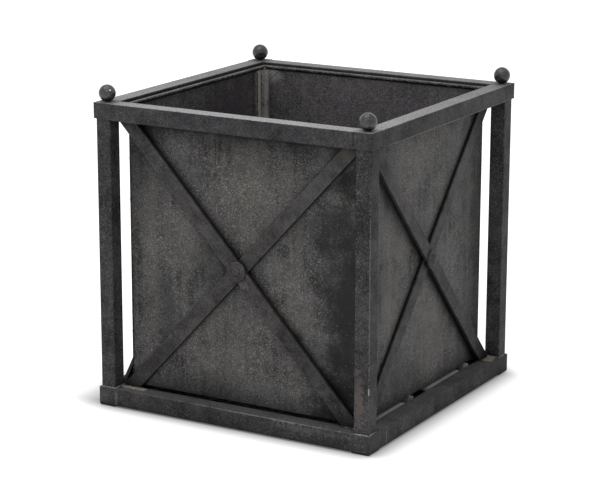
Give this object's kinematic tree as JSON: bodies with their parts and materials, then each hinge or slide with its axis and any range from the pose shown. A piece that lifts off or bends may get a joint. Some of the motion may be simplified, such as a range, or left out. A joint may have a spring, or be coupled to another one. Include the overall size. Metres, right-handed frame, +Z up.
{
  "type": "versailles planter",
  "caption": "Square steel tube planter frame with ball finials and crossed flat braces on each face, holding a lift-out sheet metal liner with a rolled rim.",
  "frame": {"origin": "on the floor, at the middle of the four feet", "axes": "+Z up, front face towards -Y, +X to the right seen from the front"},
  "size_m": [0.61, 0.61, 0.646],
  "materials": {
    "frame": "aged pewter grey, matt",
    "fittings": "aged pewter grey, satin",
    "braces": "aged pewter grey, matt",
    "base": "grey, matt",
    "liner": "aged zinc grey, mottled"
  },
  "bodies": {
    "frame": {"post_front_left": "frame", "post_front_right": "frame", "post_back_right": "frame", "post_back_left": "frame", "top_rail_front": "frame", "top_rail_right": "frame", "top_rail_back": "frame", "top_rail_left": "frame", "bottom_rail_front": "frame", "bottom_rail_right": "frame", "bottom_rail_back": "frame", "bottom_rail_left": "frame", "cap_front_left": "frame", "cap_front_right": "frame", "cap_back_right": "frame", "cap_back_left": "frame", "foot_front_left": "frame", "foot_front_right": "frame", "foot_back_right": "frame", "foot_back_left": "frame", "finial_front_left": "fittings", "finial_front_right": "fittings", "finial_back_right": "fittings", "finial_back_left": "fittings", "outer_brace_front": "braces", "outer_brace_right": "braces", "outer_brace_back": "braces", "outer_brace_left": "braces", "inner_brace_front": "braces", "inner_brace_right": "braces", "inner_brace_back": "braces", "inner_brace_left": "braces", "rosettes": "fittings", "rivets": "fittings", "base_strip_front": "base", "base_strip_back": "base", "liner_bearers": "base"},
    "liner": {"liner_floor": "liner", "liner_wall_front": "liner", "liner_wall_right": "liner", "liner_wall_back": "liner", "liner_wall_left": "liner", "liner_corner_front_left": "liner", "liner_corner_front_right": "liner", "liner_corner_back_right": "liner", "liner_corner_back_left": "liner", "rim_front": "liner", "rim_right": "liner", "rim_back": "liner", "rim_left": "liner"}
  },
  "joints": [
    {"name": "liner_lift", "type": "slide", "parent": "frame", "child": "liner", "axis": [0, 0, 1], "range_m": [0, 0.58]}
  ]
}
